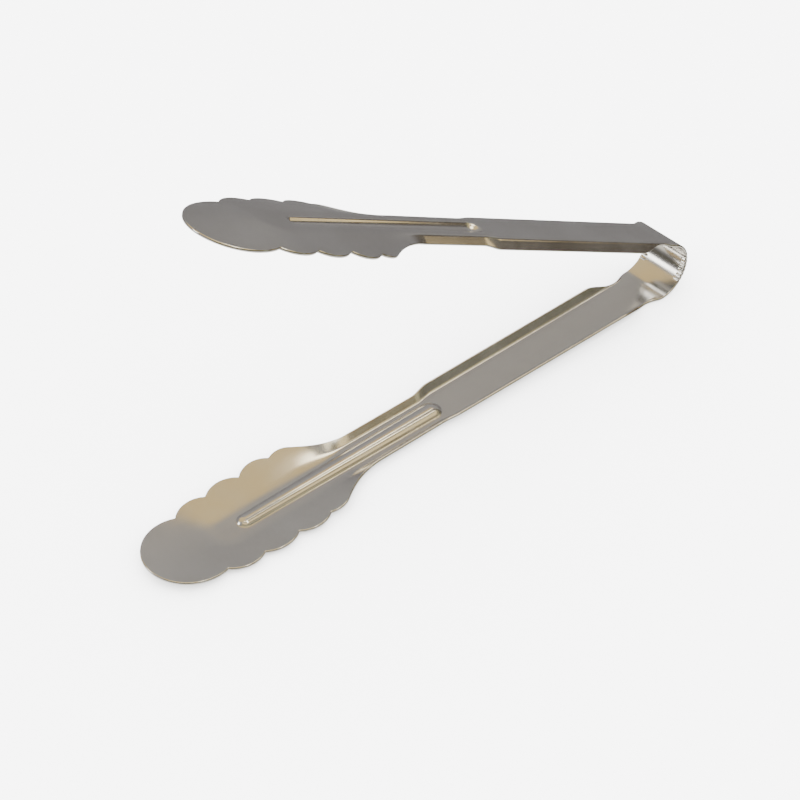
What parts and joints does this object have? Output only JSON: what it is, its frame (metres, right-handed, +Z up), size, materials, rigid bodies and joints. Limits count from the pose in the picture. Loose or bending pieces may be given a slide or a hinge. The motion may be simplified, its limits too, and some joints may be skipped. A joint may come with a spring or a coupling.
{
  "type": "sprung serving tongs",
  "caption": "One-piece stainless steel tongs: two channelled arms with ribbed necks and scalloped, shallow dished heads, joined by a fluted U-bend that springs them open.",
  "frame": {"origin": "on the flat back of the lower handle, in the middle of its grip, on the resting plane", "axes": "+X along the lower arm towards the bend, -X towards the tips; Y across the width; +Z up, square to the back of the lower handle"},
  "size_m": [0.2399, 0.0386, 0.1234],
  "materials": {
    "polished_steel": "bright rolled stainless steel sheet, lightly polished"
  },
  "bodies": {
    "lower_arm": {"lower_arm": "polished_steel"},
    "spring_segment_1": {"spring_segment_1": "polished_steel"},
    "spring_segment_2": {"spring_segment_2": "polished_steel"},
    "spring_segment_3": {"spring_segment_3": "polished_steel"},
    "spring_segment_4": {"spring_segment_4": "polished_steel"},
    "spring_segment_5": {"spring_segment_5": "polished_steel"},
    "spring_segment_6": {"spring_segment_6": "polished_steel"},
    "spring_segment_7": {"spring_segment_7": "polished_steel"},
    "upper_arm": {"upper_arm": "polished_steel"}
  },
  "joints": [
    {"name": "squeeze", "type": "hinge", "parent": "lower_arm", "child": "upper_arm", "pos_m": [0.06447, 0, 0.00972], "axis": [0, -1, 0], "range_deg": [0, 29.52], "stiffness_Nm_per_rad": 2},
    {"name": "flex_1", "type": "hinge", "parent": "lower_arm", "child": "spring_segment_1", "pos_m": [0.06277, 0, 0.00421], "axis": [0, -1, 0], "range_deg": [0, 3.69]},
    {"name": "flex_2", "type": "hinge", "parent": "lower_arm", "child": "spring_segment_2", "pos_m": [0.06331, 0, 0.00489], "axis": [0, -1, 0], "range_deg": [0, 7.38]},
    {"name": "flex_3", "type": "hinge", "parent": "lower_arm", "child": "spring_segment_3", "pos_m": [0.06376, 0, 0.00562], "axis": [0, -1, 0], "range_deg": [0, 11.07]},
    {"name": "flex_4", "type": "hinge", "parent": "lower_arm", "child": "spring_segment_4", "pos_m": [0.06411, 0, 0.0064], "axis": [0, -1, 0], "range_deg": [0, 14.76]},
    {"name": "flex_5", "type": "hinge", "parent": "lower_arm", "child": "spring_segment_5", "pos_m": [0.06436, 0, 0.00722], "axis": [0, -1, 0], "range_deg": [0, 18.45]},
    {"name": "flex_6", "type": "hinge", "parent": "lower_arm", "child": "spring_segment_6", "pos_m": [0.0645, 0, 0.00805], "axis": [0, -1, 0], "range_deg": [0, 22.14]},
    {"name": "flex_7", "type": "hinge", "parent": "lower_arm", "child": "spring_segment_7", "pos_m": [0.06454, 0, 0.00889], "axis": [0, -1, 0], "range_deg": [0, 25.83]}
  ],
  "couplings": [
    {"joint": "flex_1", "follows": "squeeze", "ratio": 0.125},
    {"joint": "flex_2", "follows": "squeeze", "ratio": 0.25},
    {"joint": "flex_3", "follows": "squeeze", "ratio": 0.375},
    {"joint": "flex_4", "follows": "squeeze", "ratio": 0.5},
    {"joint": "flex_5", "follows": "squeeze", "ratio": 0.625},
    {"joint": "flex_6", "follows": "squeeze", "ratio": 0.75},
    {"joint": "flex_7", "follows": "squeeze", "ratio": 0.875}
  ]
}
